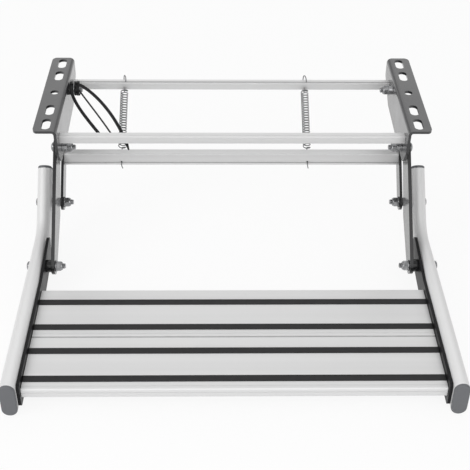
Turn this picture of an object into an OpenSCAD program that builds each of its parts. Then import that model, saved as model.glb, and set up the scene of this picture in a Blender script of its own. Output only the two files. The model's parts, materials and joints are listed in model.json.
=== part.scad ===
// Folding single entry step for a caravan, shown let down.
// X runs across the doorway, Y runs back under the caravan and Z runs up from the ground.

/* [Side tubes] */
// Width over the outer faces of the two side tubes
tube_span = 577; // [560:1:620]
// Thickness of a side tube across the step
tube_t = 20; // [18:0.5:22]
// Depth of the flat oval section of a side tube
tube_h = 50; // [46:1:54]
// Wall of the side tubes
tube_wall = 2; // [1.5:0.1:3]
// Distance from the front end of a tube to where its two straight runs would meet
tube_run = 323; // [315:1:335]
// Rise of the rear leg of a tube above level
leg_angle = 45; // [40:1:50]
// Length of the rear leg from where the straight runs would meet
leg_len = 104; // [98:1:120]
// Radius of the bend on the tube's centre line
bend_r = 70; // [60:1:90]
// Thickness of the plate of an end cap outside its tube
cap_t = 4; // [3:0.5:6]

/* [Tread] */
// Distance from the front of the side tubes to the front of the tread
tread_front = 8; // [4:1:14]
// Depth of one tread plank
plank_w = 93.5; // [85:0.5:96]
// Thickness of a tread plank
plank_h = 14; // [12:0.5:18]
// Wall of the plank extrusion
plank_wall = 2; // [1.5:0.1:2.5]
// Joint between the two planks
plank_gap = 1; // [0.5:0.1:2]
// Height of the tread surface above the ground
tread_top = 34; // [30:1:40]
// Width of a grip strip
strip_w = 10.5; // [8:0.5:13]
// Distance from a plank's front edge to its front grip strip
strip_front = 13; // [10:0.5:16]
// Distance between the two grip strips of a plank, middle to middle
strip_pitch = 49.5; // [44:0.5:55]
// Height of a grip strip above the tread surface
strip_stand = 0.8; // [0.4:0.1:1.5]

/* [Side angles] */
// Thickness of the upright of a side angle
angle_t = 4; // [3:0.5:5]
// Thickness of the foot that carries the planks
foot_t = 3; // [2.5:0.5:4]
// Distance from the front of the tread back to the front of the foot
foot_back = 22; // [10:1:40]
// Distance from the front of the tread to the front rivet of a side angle
rivet_front = 40; // [30:1:60]
// Distance from the rear of the tread to the rear rivet of a side angle
rivet_rear = 35; // [25:1:60]
// Width of the foot beyond the upright
foot_w = 14; // [10:1:20]
// Height of the upright above the tread surface
angle_stand = 9; // [4:1:12]

/* [Brackets] */
// Distance from the front of the side tubes to the front end of the flanges
flange_front = 333; // [325:1:340]
// Length of a flange
flange_len = 222; // [210:1:240]
// Width of a flange
flange_w = 36; // [34:1:42]
// Height of the flange tops above the ground
flange_top = 206; // [204:1:216]
// Thickness of the bracket plate
plate_t = 4; // [3:0.5:5]
// Outer radius of the fold between flange and web
fold_r = 7; // [5.5:0.5:9]
// Gap between each rear link and its side tube, bridged by a spacer
tube_gap = 13.5; // [13:0.5:20]
// Gap between each web and its rear link
link_gap = 1; // [0.8:0.1:2]
// Width of the mounting slots
slot_w = 12.5; // [8.5:0.5:14]
// Length of the mounting slots
slot_len = 28; // [20:1:32]
// Distance from the middle of a flange to its inner slots
slot_inner = 51.5; // [45:0.5:55]
// Distance from an inner slot to the outer slot beside it
slot_pitch = 39.5; // [38:0.5:42]
// Diameter of the round hole in the middle of a flange
flange_hole_d = 12; // [8:0.5:14]

/* [Linkage] */
// Place of the front bracket pivot behind the front of the tubes
front_pivot_y = 369; // [366:1:374]
// Depth of the front bracket pivot below the flange tops
pivot_drop = 48; // [44:1:52]
// Distance from the front bracket pivot back to the rear one
pivot_gap_y = 114; // [108:1:120]
// Rise from the front bracket pivot to the rear one
pivot_gap_z = 31; // [26:1:32]
// Forward reach of both links from their upper to their lower pivots
link_reach = 120; // [115:1:124]
// Height of the front links' lower pivots above the ground
step_pivot_z = 34; // [30:1:38]
// Thickness of the front links
front_link_t = 5; // [4:0.5:6]
// Thickness of the rear links
rear_link_t = 4; // [3:0.5:4.5]
// Radius of metal around each pivot of a link
link_end_r = 12; // [10:0.5:12.5]

/* [Cross rails] */
// Side of the square rails between the brackets
rail_side = 12; // [10:0.5:14]
// Depth of the spring rail along the rear links' plane
spring_rail_d = 14; // [12:0.5:16]
// Height of the spring rail
spring_rail_h = 20; // [16:0.5:22]
// Place of the spring rail along the rear links, as a distance from the rear bracket pivot
spring_rail_s = 104; // [98:1:110]

/* [Springs] */
// Place of the left spring across the step
spring_left_x = -166; // [-190:1:-150]
// Place of the right spring across the step
spring_right_x = 114; // [90:1:140]
// Outer diameter of the coils
coil_d = 11.5; // [9:0.5:14]
// Diameter of the spring wire
wire_d = 1.6; // [1.2:0.1:2]
// Number of turns of each spring
coil_turns = 20; // [14:1:24]

/* [Fasteners] */
// Diameter of the pivot bolts
bolt_d = 8; // [7:0.5:8.5]
// Radial running clearance of the pivot bolts
bolt_fit = 0.05; // [0.02:0.01:0.1]
// Radial clearance of the bolt in the lower hole of a rear link
open_fit = 0.5; // [0.3:0.1:1]
// Outer diameter of the washers
washer_d = 16; // [15:0.5:18]
// Thickness of the washers
washer_t = 1.6; // [1.2:0.1:2]
// Width of the nuts across their flats
nut_af = 13; // [12:0.5:14]
// Height of the lock nuts
nut_h = 8; // [6.5:0.5:9]
// Length of thread beyond each nut
thread_out = 4; // [2:0.5:9]
// Diameter of the rail and plank screws
screw_d = 5; // [4:0.5:6]

/* [Hidden] */

steel = [0.24, 0.25, 0.26];
aluminium = [0.82, 0.83, 0.84];
zinc = [0.7, 0.71, 0.72];
rubber = [0.15, 0.15, 0.15];
cap_grey = [0.44, 0.45, 0.47];
eps = 0.01;
run_gap = 0.3;

// The origin is in the middle of the whole step, so the side tubes start at this Y.
front = -(flange_front + flange_len - cap_t) / 2;
flange_y0 = front + flange_front;
flange_y1 = flange_y0 + flange_len;

front_pivot_z = flange_top - pivot_drop;
link_drop = front_pivot_z - step_pivot_z;

// Places in the side view are pairs of Y and Z.
front_pivot = [front + front_pivot_y, front_pivot_z];
rear_pivot = front_pivot + [pivot_gap_y, pivot_gap_z];
link = [-link_reach, -link_drop];
link_len = norm(link);
step_front_pivot = front_pivot + link;
step_rear_pivot = rear_pivot + link;

tube_out = tube_span / 2;
tube_in = tube_out - tube_t;
angle_in = tube_in - angle_t;
web_out = tube_in - tube_gap - rear_link_t - link_gap;
web_in = web_out - plate_t;
flange_mid = (flange_y0 + flange_y1) / 2;
flange_out = web_in - fold_r + plate_t + flange_w;
rear_link_out = tube_in - tube_gap;
rear_link_in = rear_link_out - rear_link_t;
front_link_in = rear_link_in + link_gap;
front_link_out = front_link_in + front_link_t;
spacer_wall = 2.5;

tube_mid = tube_h / 2;
bend_back = bend_r * tan(leg_angle / 2);
bend_front = front + tube_run - bend_back;
leg_dir = [cos(leg_angle), sin(leg_angle)];
leg_tuck = 0.5;
leg_thin = 0.02;
leg_start = [front + tube_run, tube_mid] + bend_back * leg_dir;
leg_end = [front + tube_run, tube_mid] + leg_len * leg_dir;

plank_half = angle_in - 0.5;
tread_y0 = front + tread_front;
front_plank_y = tread_y0;
rear_plank_y = tread_y0 + plank_w + plank_gap;
tread_rear = rear_plank_y + plank_w;
strip_depth = 2.4;
foot_top = tread_top - plank_h;
foot_in = angle_in - foot_w;
screw_r = screw_d / 2;
plank_screw_x = angle_in - foot_w / 2;

rear_rail = [flange_y1 - 35, rear_pivot[1] - 11];
front_rail = front_pivot + [-11, 22];
link_dir = link / link_len;
link_nor = [-link_dir[1], link_dir[0]];
spring_rail_at = rear_pivot + spring_rail_s * link_dir;
spring_dir = unit(spring_rail_at - rear_rail);

// Vectors and outlines

function unit(v) = v / norm(v);
function turned(v, a) = [v[0] * cos(a) - v[1] * sin(a), v[0] * sin(a) + v[1] * cos(a)];
function side_of(a, b) = a[0] * b[1] - a[1] * b[0];

// The arc that rounds corner q of a path p, q, s to radius r
function fillet(p, q, s, r) =
    let (
        a = unit(p - q),
        b = unit(s - q),
        half = acos(a * b) / 2,
        centre = q + unit(a + b) * r / sin(half),
        first = q + a * r / tan(half) - centre,
        last = q + b * r / tan(half) - centre,
        sweep = (side_of(first, last) > 0 ? 1 : -1) * (180 - 2 * half),
        steps = max(2, ceil(abs(sweep) / 12))
    )
    [for (k = [0:steps]) centre + turned(first, sweep * k / steps)];

// An outline whose corners are given as [point, radius]
function rounded(corners) =
    let (n = len(corners))
    [for (i = [0:n - 1])
        each corners[i][1] == 0
            ? [corners[i][0]]
            : fillet(corners[(i + n - 1) % n][0], corners[i][0], corners[(i + 1) % n][0], corners[i][1])];

// Stands an outline of [Y, Z] pairs up as a plate from x0 to x1
module side_plate(x0, x1) {
    translate([x0, 0, 0]) rotate([90, 0, 90]) linear_extrude(x1 - x0) children();
}

// A round bar along X from x0 to x1 through a side view place
module bar(at, r, x0, x1) {
    translate([x0, at[0], at[1]]) rotate([0, 90, 0]) cylinder(r = r, h = x1 - x0, $fn = 48);
}

module both_sides() {
    children();
    mirror([1, 0, 0]) children();
}

// A flat oval, t across and h deep
module flat_oval(t, h) {
    union() {
        square([t, h - t], center = true);
        for (s = [-1, 1]) translate([0, s * (h - t) / 2]) circle(d = t, $fn = 48);
    }
}

// Brackets

// The folded section of a bracket: web down, flange turned outward
function bracket_section() = rounded([
    [[web_in, front_pivot_z - 40], 0],
    [[web_in, flange_top], fold_r],
    [[flange_out, flange_top], 0],
    [[flange_out, flange_top - plate_t], 0],
    [[web_out, flange_top - plate_t], max(fold_r - plate_t, 1)],
    [[web_out, front_pivot_z - 40], 0]
]);

// The side view of a bracket, from the fold down to the ears round its pivots
module web_outline() {
    polygon(rounded([
        [[flange_y0, flange_top + 1], 0],
        [[flange_y1, flange_top + 1], 0],
        [[flange_y1, rear_pivot[1] - 12], 8],
        [rear_pivot + [22, -39], 20],
        [front_pivot + [55, -13], 30],
        [front_pivot + [-18, -15], 15],
        [[flange_y0 + 2, front_pivot_z + 10], 12]
    ]));
}

module flange_plan() {
    polygon(rounded([
        [[web_in - 1, flange_y0 - 1], 0],
        [[flange_out, flange_y0], 8],
        [[flange_out, flange_y1], 8],
        [[web_in - 1, flange_y1 + 1], 0]
    ]));
}

module slot_hole(y) {
    translate([flange_out - flange_w / 2 + 1, y, flange_top - plate_t - 1]) union() {
        for (s = [-1, 1])
            translate([0, s * (slot_len - slot_w) / 2, 0]) cylinder(d = slot_w, h = plate_t + 2, $fn = 48);
        translate([-slot_w / 2, -(slot_len - slot_w) / 2, 0]) cube([slot_w, slot_len - slot_w, plate_t + 2]);
    }
}

module bracket_right() {
    color(steel) difference() {
        intersection() {
            translate([0, flange_y1, 0]) rotate([90, 0, 0])
                linear_extrude(flange_len) polygon(bracket_section());
            side_plate(web_in - 1, flange_out + 1) web_outline();
            translate([0, 0, front_pivot_z - 60]) linear_extrude(flange_top) flange_plan();
        }
        for (s = [-1, 1], d = [slot_inner, slot_inner + slot_pitch]) slot_hole(flange_mid + s * d);
        translate([flange_out - flange_w / 2 + 1, flange_mid, flange_top - plate_t - 1])
            cylinder(d = flange_hole_d, h = plate_t + 2, $fn = 48);
        for (p = [front_pivot, rear_pivot]) bar(p, bolt_d / 2 + bolt_fit, web_in - 1, web_out + 1);
        for (p = [front_rail, rear_rail]) rail_screw_room(p);
    }
}

module bracket_left() {
    mirror([1, 0, 0]) bracket_right();
}

// Countersunk room for the screw that holds a rail to a web
module rail_screw_room(p) {
    bar(p, screw_r + bolt_fit, web_in - 1, web_out + 1);
    translate([web_out - plate_t / 2, p[0], p[1]]) rotate([0, 90, 0])
        cylinder(r1 = screw_r + bolt_fit, r2 = screw_d + bolt_fit, h = plate_t / 2 + eps, $fn = 48);
}

// Cross rails

// A square rail with rounded edges and a groove along its upper front edge
module frame_rail(at) {
    r = rail_side / 2;
    color(aluminium) difference() {
        side_plate(-web_in, web_in) translate(at) difference() {
            polygon(rounded([[[-r, -r], 1.5], [[r, -r], 1.5], [[r, r], 1.5], [[-r, r], 1.5]]));
            translate([-r + 2.6, r - 0.8]) square([1.6, 2]);
        }
        for (s = [-1, 1]) bar(at, screw_r + bolt_fit, s > 0 ? web_in - 14 : -web_in - 1, s > 0 ? web_in + 1 : -web_in + 14);
        children();
    }
}

// The hole that a spring hook passes through, along the spring
module hook_hole(at, x) {
    translate([x, at[0], at[1]]) rotate([atan2(spring_dir[1], spring_dir[0]) + 90, 0, 0])
        cylinder(d = wire_d + 1.4, h = 60, center = true, $fn = 24);
}

module rear_cross_rail() {
    frame_rail(rear_rail) for (x = [spring_left_x, spring_right_x]) hook_hole(rear_rail, x);
}

module front_cross_rail() {
    frame_rail(front_rail);
}

module spring_rail() {
    d = spring_rail_d / 2;
    h = spring_rail_h / 2;
    end = rear_link_in;
    color(aluminium) difference() {
        side_plate(-end, end) translate(spring_rail_at) difference() {
            polygon(rounded([[[-d, -h], 2], [[d, -h], 2], [[d, h], 2], [[-d, h], 2]]));
            translate([-d - 1, -h + 4.5]) square([1.5, 1]);
        }
        for (s = [-1, 1]) bar(spring_rail_at, screw_r + bolt_fit, s > 0 ? end - 16 : -end - 1, s > 0 ? end + 1 : -end + 16);
        for (x = [spring_left_x, spring_right_x]) hook_hole(spring_rail_at, x);
    }
}

module rail_screws() {
    color(steel) both_sides() for (p = [front_rail, rear_rail]) union() {
        bar(p, screw_r, web_in - 12, web_out - plate_t / 2 + eps);
        translate([web_out - plate_t / 2, p[0], p[1]]) rotate([0, 90, 0])
            cylinder(r1 = screw_r, r2 = screw_d, h = plate_t / 2, $fn = 48);
    }
}

// Links

// Front link: straight front edge, broad in the middle of its rear edge and narrow at its lower eye
module front_link_right() {
    r = link_end_r;
    color(steel) difference() {
        side_plate(front_link_in, front_link_out) translate(front_pivot) rotate(atan2(link[1], link[0]))
            polygon(rounded([
                [[-r, -r - 1], r],
                [[link_len + r, -r - 1], r],
                [[link_len + r, r], r],
                [[link_len * 0.55, r + 20], 12],
                [[0, r + 10], 14],
                [[-r, r], 10]
            ]));
        bar(front_pivot, bolt_d / 2 + bolt_fit, front_link_in - 1, front_link_out + 1);
        bar(step_front_pivot, bolt_d / 2 + bolt_fit, front_link_in - 1, front_link_out + 1);
    }
}

module front_link_left() {
    mirror([1, 0, 0]) front_link_right();
}

// Rear link: a plain bar with an eye at each end
module rear_link_right() {
    color(steel) difference() {
        side_plate(rear_link_in, rear_link_out) translate(rear_pivot) rotate(atan2(link[1], link[0])) union() {
            translate([0, -link_end_r]) square([link_len, 2 * link_end_r]);
            for (x = [0, link_len]) translate([x, 0]) circle(r = link_end_r, $fn = 64);
        }
        bar(rear_pivot, bolt_d / 2 + bolt_fit, rear_link_in - 1, rear_link_out + 1);
        bar(step_rear_pivot, bolt_d / 2 + open_fit, rear_link_in - 1, rear_link_out + 1);
        bar(spring_rail_at, screw_r + bolt_fit, rear_link_in - 1, rear_link_out + 1);
    }
}

module rear_link_left() {
    mirror([1, 0, 0]) rear_link_right();
}

module spring_rail_screws() {
    color(zinc) both_sides() union() {
        bar(spring_rail_at, screw_r, rear_link_in - 14, rear_link_out);
        bar(spring_rail_at, screw_d * 0.9, rear_link_out, rear_link_out + 2.5);
    }
}

// Springs

// Joins rings of points into one closed skin
module skin(rings) {
    n = len(rings[0]);
    last = len(rings) - 1;
    polyhedron(
        points = [for (ring = rings) each ring],
        faces = [
            [for (k = [n - 1:-1:0]) k],
            for (i = [0:last - 1], k = [0:n - 1]) each [
                [i * n + k, i * n + (k + 1) % n, (i + 1) * n + (k + 1) % n],
                [i * n + k, (i + 1) * n + (k + 1) % n, (i + 1) * n + k]
            ],
            [for (k = [0:n - 1]) last * n + k]
        ]
    );
}

// One ring of wire round a centre, in the plane of e1 and e2
function wire_ring(c, e1, e2, r, n) =
    [for (k = [0:n - 1]) c + r * cos(360 * k / n) * e1 + r * sin(360 * k / n) * e2];

// Direction of a path of points at point i
function heading(path, i) = unit(path[min(i + 1, len(path) - 1)] - path[max(i - 1, 0)]);

// Rings along a bent end of the wire, which stays in the plane of the side view
function hook_rings(path, x, flip, r, n) = [
    for (i = [0:len(path) - 1])
        let (t = heading(path, i), t3 = [0, t[0], t[1]], e1 = flip * [1, 0, 0], e2 = flip * cross(t3, [1, 0, 0]))
        wire_ring([x, path[i][0], path[i][1]], e1, e2, r, n)
];

module spring(x) {
    r = wire_d / 2;
    coil_r = (coil_d - wire_d) / 2;
    n = 6;
    per_turn = 10;
    u2 = spring_dir;
    u = [0, u2[0], u2[1]];
    v = cross(u, [1, 0, 0]);
    out = [1, 0, 0];
    rail_reach = rail_side * 0.75;
    top = rear_rail + (rail_reach + 2) * u2;
    low = spring_rail_at - (spring_rail_h * 0.6 + 8) * u2;
    start = [x, top[0], top[1]];
    length = norm(low - top);
    rise = length / coil_turns;
    up = [-u2[1], u2[0]];
    rear_hook = [
        rear_rail - 10 * u2 - 12 * up, rear_rail - 11 * u2 - 7 * up,
        rear_rail - 10 * u2 - 2 * up, rear_rail - 8 * u2, rear_rail, top - 2 * u2
    ];
    front_hook = [
        low + 2 * u2, spring_rail_at, spring_rail_at + 11 * u2, spring_rail_at + 13 * u2 + 2 * up,
        spring_rail_at + 14 * u2 + 6 * up, spring_rail_at + 13 * u2 + 10 * up
    ];
    // Radial direction of the coil after turning through an angle
    function radial(a) = cos(a) * out + sin(a) * v;
    coil = [
        for (k = [0:coil_turns * per_turn])
            let (a = 360 * k / per_turn)
            wire_ring(start + coil_r * radial(a) + rise * k / per_turn * u, -u, -radial(a), r, n)
    ];
    lead_in = [
        wire_ring(start - 0.8 * u, unit(out - u), v, r, n),
        wire_ring(start + 0.4 * coil_r * out, -u, v, r, n),
        wire_ring(start + 0.9 * coil_r * out - 0.5 * v, -u, unit(v - out), r, n)
    ];
    finish = start + length * u;
    lead_out = [
        wire_ring(finish + 0.9 * coil_r * out + 0.5 * v, -u, unit(-out - v), r, n),
        wire_ring(finish + 0.4 * coil_r * out, -u, -v, r, n),
        wire_ring(finish + 0.8 * u, unit(-out - u), -v, r, n)
    ];
    color(zinc) skin(concat(
        hook_rings(rear_hook, x, 1, r, n), lead_in, coil, lead_out, hook_rings(front_hook, x, -1, r, n)
    ));
}

module spring_left() {
    spring(spring_left_x);
}

module spring_right() {
    spring(spring_right_x);
}

// Side tubes

// The section of a side tube: a flat oval ring, drawn thin by a hair's breadth on both faces
module tube_section(thin) {
    difference() {
        flat_oval(tube_t - 2 * thin, tube_h - 2 * thin);
        flat_oval(tube_t - 2 * tube_wall + 2 * thin, tube_h - 2 * tube_wall + 2 * thin);
    }
}

module side_tube_right() {
    color(aluminium) difference() {
        translate([tube_out - tube_t / 2, 0, 0]) union() {
            translate([0, bend_front, tube_mid]) rotate([90, 0, 0]) linear_extrude(bend_front - front) tube_section(0);
            translate([0, bend_front, tube_mid + bend_r]) rotate([0, 90, 0])
                rotate_extrude(angle = leg_angle, $fn = 180) translate([bend_r, 0]) rotate(90) tube_section(0);
            translate([0, bend_front, tube_mid + bend_r]) rotate([leg_angle, 0, 0])
                translate([0, -leg_tuck, -bend_r]) rotate([-90, 0, 0])
                linear_extrude(leg_len - bend_back + leg_tuck) tube_section(leg_thin);
        }
        for (p = [step_front_pivot, step_rear_pivot]) bar(p, bolt_d / 2 + bolt_fit, tube_in - 1, tube_out + 1);
        for (p = rivet_places()) bar(p, 2 + bolt_fit, tube_in - 1, tube_in + tube_wall + 1);
    }
}

module side_tube_left() {
    mirror([1, 0, 0]) side_tube_right();
}

// A cap: a plug inside the tube and a plate with a rounded rim outside it
module tube_cap() {
    rim = 1.6;
    half = (tube_h - tube_t) / 2;
    plug_t = tube_t - 2 * tube_wall - 0.2;
    edge = rounded([
        [[0, 0], 0], [[tube_t / 2, 0], 0], [[tube_t / 2, -cap_t], rim], [[0, -cap_t], 0]
    ]);
    color(cap_grey) union() {
        for (s = [-1, 1]) translate([0, s * half, 0]) rotate_extrude($fn = 64) polygon(edge);
        rotate([90, 0, 0]) translate([0, 0, -half]) linear_extrude(2 * half) union() {
            polygon(edge);
            mirror([1, 0]) polygon(edge);
        }
        linear_extrude(12) flat_oval(plug_t, tube_h - 2 * tube_wall - 0.2);
    }
}

module front_cap_right() {
    translate([tube_out - tube_t / 2, front, tube_mid]) rotate([-90, 0, 0]) tube_cap();
}

module front_cap_left() {
    mirror([1, 0, 0]) front_cap_right();
}

module top_cap_right() {
    translate([tube_out - tube_t / 2, leg_end[0], leg_end[1]]) rotate([leg_angle + 90, 0, 0]) tube_cap();
}

module top_cap_left() {
    mirror([1, 0, 0]) top_cap_right();
}

// Side angles

// Places of the rivets that hold a side angle to its tube
function rivet_places() =
    [[tread_y0 + rivet_front, foot_top - foot_t - 7], [tread_rear - rivet_rear, foot_top - foot_t - 7]];

module side_angle_right() {
    top = tread_top + angle_stand;
    color(steel) difference() {
        union() {
            side_plate(angle_in, tube_in) polygon(rounded([
                [[tread_y0 - 4, foot_top - foot_t - 9], 4],
                [[tread_y0 - 4, top], 5],
                [[tread_rear + 10, top], 20],
                [step_front_pivot + [48, 22], 8],
                [step_front_pivot + [40, -14], 12],
                [[tread_rear + 10, foot_top - foot_t - 9], 30]
            ]));
            translate([foot_in, tread_y0 + foot_back, foot_top - foot_t])
                cube([foot_w + eps, tread_rear - tread_y0 - foot_back, foot_t]);
        }
        bar(step_front_pivot, bolt_d / 2 + bolt_fit, angle_in - 1, tube_in + 1);
        for (p = rivet_places()) bar(p, 2 + bolt_fit, angle_in - 1, tube_in + 1);
        for (y = plank_screw_places()) translate([plank_screw_x, y, foot_top - foot_t - 1])
            cylinder(r = screw_r + bolt_fit, h = foot_t + 2, $fn = 48);
    }
}

module side_angle_left() {
    mirror([1, 0, 0]) side_angle_right();
}

module angle_rivets() {
    color(zinc) both_sides() for (p = rivet_places()) union() {
        bar(p, 2, angle_in - eps, tube_in + tube_wall);
        bar(p, 4, angle_in - 1.2, angle_in);
    }
}

// Tread planks

function plank_screw_places() =
    [for (y0 = [front_plank_y, rear_plank_y], d = [plank_w * 0.37, plank_w * 0.87]) y0 + d];

// Places of the grip strip grooves along a plank's depth, measured from its front edge
function strip_places() = [strip_front, strip_front + strip_pitch];

// The section of a plank: a hollow board with a rounded nose, two strip grooves and fine ridges by its joint
module plank_section() {
    chambers = 4;
    clear = (plank_w - (chambers + 1) * plank_wall) / chambers;
    floor_h = plank_h - plank_wall - strip_depth - 1.2;
    difference() {
        polygon(rounded([
            [[0, -plank_h], 1.5], [[plank_w, -plank_h], 1.5], [[plank_w, 0], 1.5], [[0, 0], 3]
        ]));
        for (i = [0:chambers - 1])
            translate([plank_wall + i * (clear + plank_wall), plank_wall - plank_h]) square([clear, floor_h - plank_wall]);
        for (y = strip_places()) {
            translate([y, -strip_depth]) square([strip_w, strip_depth + 1]);
            translate([y - 0.8, -strip_depth]) square([strip_w + 1.6, 1]);
        }
        translate([5.5, -0.5]) square([0.8, 1]);
        translate([-1, -6.4]) square([1.6, 1]);
    }
}

module plank(y0) {
    color(aluminium) difference() {
        side_plate(-plank_half, plank_half) translate([y0, tread_top]) plank_section();
        for (s = [-1, 1], y = plank_screw_places()) translate([s * plank_screw_x, y, foot_top - 1])
            cylinder(r = screw_r + bolt_fit, h = plank_wall + 2, $fn = 48);
    }
}

module rear_tread_plank() {
    plank(rear_plank_y);
}

module front_tread_plank() {
    plank(front_plank_y);
}

// A grip strip: a foot held under the groove's lips and a ribbed crown
module strip_section() {
    foot = 0.05;
    difference() {
        union() {
            translate([foot, -strip_depth + foot])
                square([strip_w - 2 * foot, strip_depth + strip_stand - foot]);
            translate([foot - 0.8, -strip_depth + foot]) square([strip_w + 1.6 - 2 * foot, 0.9]);
        }
        for (k = [1:4]) translate([k * strip_w / 5 - 0.35, strip_stand - 0.5]) square([0.7, 1]);
    }
}

module grip_strips(y0) {
    color(rubber) for (y = strip_places())
        side_plate(-plank_half, plank_half) translate([y0 + y, tread_top]) strip_section();
}

module rear_grip_strips() {
    grip_strips(rear_plank_y);
}

module front_grip_strips() {
    grip_strips(front_plank_y);
}

module plank_screws() {
    head = 2.5;
    under = foot_top - foot_t;
    color(zinc) both_sides() for (y = plank_screw_places()) translate([plank_screw_x, y, under]) union() {
        cylinder(r = screw_r, h = foot_t + plank_wall + 1, $fn = 32);
        translate([0, 0, -head]) cylinder(r = screw_d * 0.85, h = head, $fn = 32);
    }
}

// Pivot hardware

// A bolt with a domed head at x_head, pointing inward and ending at x_tip
module pivot_bolt(p, x_head, x_tip) {
    r = bolt_d / 2;
    color(zinc) translate([x_head, p[0], p[1]]) rotate([0, -90, 0]) union() {
        rotate_extrude($fn = 64) polygon([
            [0, -4.4], [2, -4.4], for (a = [80:-16:0]) [2 + 5 * cos(a), -0.9 - 3.5 * sin(a)], [7, 0], [0, 0]
        ]);
        rotate_extrude($fn = 64) polygon([[0, 0], [r, 0], [r, x_head - x_tip - 1], [r - 1, x_head - x_tip], [0, x_head - x_tip]]);
    }
}

// A lock nut with a rounded collar, its bearing face at x
module lock_nut(p, x) {
    bore = bolt_d / 2 + bolt_fit;
    color(zinc) translate([x, p[0], p[1]]) rotate([0, -90, 0]) difference() {
        union() {
            intersection() {
                cylinder(d = nut_af / cos(30), h = nut_h - 2, $fn = 6);
                rotate_extrude($fn = 64) polygon([
                    [0, 0], [nut_af / 2, 0], [nut_af * 0.58, 0.7], [nut_af * 0.58, nut_h - 2.9], [nut_af / 2, nut_h - 2], [0, nut_h - 2]
                ]);
            }
            rotate_extrude($fn = 64) polygon([[0, nut_h - 2.5], [nut_af * 0.46, nut_h - 2.5], [nut_af * 0.46, nut_h - 0.8], [nut_af * 0.38, nut_h], [0, nut_h]]);
        }
        translate([0, 0, -1]) cylinder(r = bore, h = nut_h + 2, $fn = 48);
    }
}

// A ring from x0 to x1, a washer or a spacer
module ring(p, x0, x1, r) {
    difference() {
        bar(p, r, x0, x1);
        bar(p, bolt_d / 2 + bolt_fit, x0 - 1, x1 + 1);
    }
}

// Stack on the inner side of a web: a thick washer against the web, a thin one and the nut
inner_spacer = 6;

module bracket_pivot_bolts() {
    tip = web_in - inner_spacer - washer_t - nut_h - thread_out;
    both_sides() {
        pivot_bolt(rear_pivot, rear_link_out + run_gap, tip);
        pivot_bolt(front_pivot, front_link_out + run_gap, tip);
    }
}

module bracket_pivot_nuts() {
    both_sides() for (p = [front_pivot, rear_pivot]) lock_nut(p, web_in - inner_spacer - washer_t);
}

module bracket_pivot_washers() {
    color(zinc) both_sides() {
        for (p = [front_pivot, rear_pivot]) {
            ring(p, web_in - inner_spacer, web_in, bolt_d / 2 + spacer_wall);
            ring(p, web_in - inner_spacer - washer_t, web_in - inner_spacer, washer_d / 2);
        }
        ring(rear_pivot, web_out, rear_link_in - run_gap, washer_d / 2);
        ring(front_pivot, web_out, front_link_in - run_gap, washer_d / 2);
    }
}

module step_pivot_bolts() {
    both_sides() {
        pivot_bolt(step_rear_pivot, tube_out, rear_link_in - run_gap - washer_t - nut_h - thread_out);
        pivot_bolt(step_front_pivot, tube_out, front_link_in - run_gap - washer_t - nut_h - thread_out);
    }
}

module step_pivot_nuts() {
    both_sides() {
        lock_nut(step_rear_pivot, rear_link_in - run_gap - washer_t);
        lock_nut(step_front_pivot, front_link_in - run_gap - washer_t);
    }
}

module step_pivot_washers() {
    color(zinc) both_sides() {
        ring(step_rear_pivot, rear_link_in - run_gap - washer_t, rear_link_in - run_gap, washer_d / 2);
        ring(step_front_pivot, front_link_in - run_gap - washer_t, front_link_in - run_gap, washer_d / 2);
    }
}

// Spacers that stand the tubes and side angles off the links
module step_pivot_spacers() {
    both_sides() {
        color(zinc) ring(step_rear_pivot, rear_link_out + run_gap, tube_in, bolt_d / 2 + spacer_wall);
        color(rubber) ring(step_front_pivot, front_link_out + run_gap, angle_in, washer_d / 2 + 1);
    }
}

// Cable ties on the left rear pivot, cut long

// A flat strap through points [X, Y, Z], its broad side towards the front and top
module strap(path, w, t) {
    look = unit([0, 0.79, -0.61]);
    rings = [
        for (i = [0:len(path) - 1])
            let (d = heading(path, i), across = unit(cross(d, look)), thick = cross(across, d))
            [for (k = [[-1, -1], [1, -1], [1, 1], [-1, 1]])
                path[i] + k[0] * w / 2 * across + k[1] * t / 2 * thick]
    ];
    color(rubber) skin(rings);
}

// Points of a smooth curve through four places, as a cubic with those as its controls
function curve(a, b, c, d, n) = [
    for (k = [0:n])
        let (t = k / n, s = 1 - t)
        s * s * s * a + 3 * s * s * t * b + 3 * s * t * t * c + t * t * t * d
];

// A place beside the left rear pivot, measured inward from the web, back and up from the pivot
function tie(p) = [p[0] - web_in, rear_pivot[0] + p[1], rear_pivot[1] + p[2]];

// The closed loop of a tie and its head, centred x inward of the web
module tie_loop(x, r, w, t) {
    color(rubber) difference() {
        union() {
            bar(rear_pivot, r + t, x - w / 2 - web_in, x + w / 2 - web_in);
            translate(tie([x - w / 2, -2, r])) cube([w, 6.5, t + 3.6]);
        }
        bar(rear_pivot, r, x - w / 2 - web_in - 1, x + w / 2 - web_in + 1);
    }
}

module cable_tie_long() {
    r = nut_af * 0.58 + 0.2;
    x = inner_spacer + washer_t + nut_h - 2.4;
    union() {
        tie_loop(x, r, 4.8, 1.3);
        strap(curve(tie([x, -1, r + 2.4]), tie([36, -18, 10]), tie([76, -56, -10]), tie([94, -98, -46]), 14), 4.8, 1.3);
    }
}

module cable_tie_flat() {
    r = bolt_d / 2 + spacer_wall + 0.2;
    x = inner_spacer / 2;
    union() {
        tie_loop(x, r, 4.8, 1.3);
        strap(curve(tie([x, -1, r + 2.4]), tie([4, -32, 4]), tie([24, -52, -12]), tie([54, -84, -32]), 12), 4.8, 1.3);
    }
}

module cable_tie_short() {
    r = nut_af * 0.58 + 0.2;
    x = inner_spacer + washer_t + 1.4;
    union() {
        tie_loop(x, r, 2.5, 1.1);
        strap(curve(tie([x, -1, r + 2.2]), tie([22, -26, 4]), tie([46, -50, -12]), tie([70, -82, -32]), 12), 2.5, 1.1);
    }
}

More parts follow.
